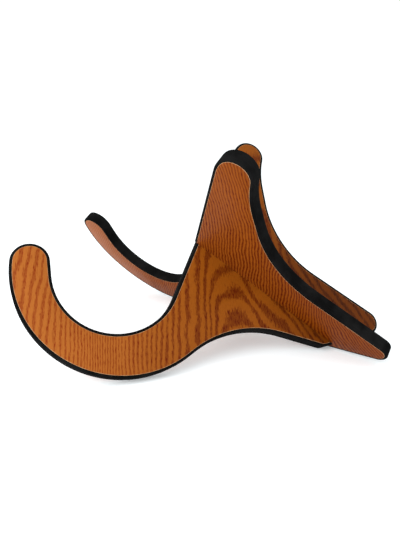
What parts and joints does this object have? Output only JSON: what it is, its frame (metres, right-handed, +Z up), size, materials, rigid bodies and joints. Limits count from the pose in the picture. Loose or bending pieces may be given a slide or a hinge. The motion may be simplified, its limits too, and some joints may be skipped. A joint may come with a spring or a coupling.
{
  "type": "crossed-board instrument stand",
  "caption": "Low take-apart stand: hooked wood-look boards with black edging slot together crosswise, with round cradles in front and a leaning backrest.",
  "frame": {"origin": "on the floor, in the middle of the footprint", "axes": "+Z up, +Y from the hooks to the rear feet, +X to the right as seen from the front"},
  "size_m": [0.2394, 0.3318, 0.1899],
  "materials": {
    "board_core": "raw fibreboard",
    "wood_laminate": "satin",
    "edge_band": "matte"
  },
  "bodies": {
    "left_board": {"left_board_core": "board_core", "left_outer_laminate": "wood_laminate", "left_inner_laminate": "wood_laminate", "left_edge_band": "edge_band"},
    "right_board": {"right_board_core": "board_core", "right_outer_laminate": "wood_laminate", "right_inner_laminate": "wood_laminate", "right_edge_band": "edge_band"}
  },
  "joints": [
    {"name": "slot_slide", "type": "slide", "parent": "left_board", "child": "right_board", "axis": [0, -0.83, 0.5577], "range_m": [0, 0.095]}
  ]
}
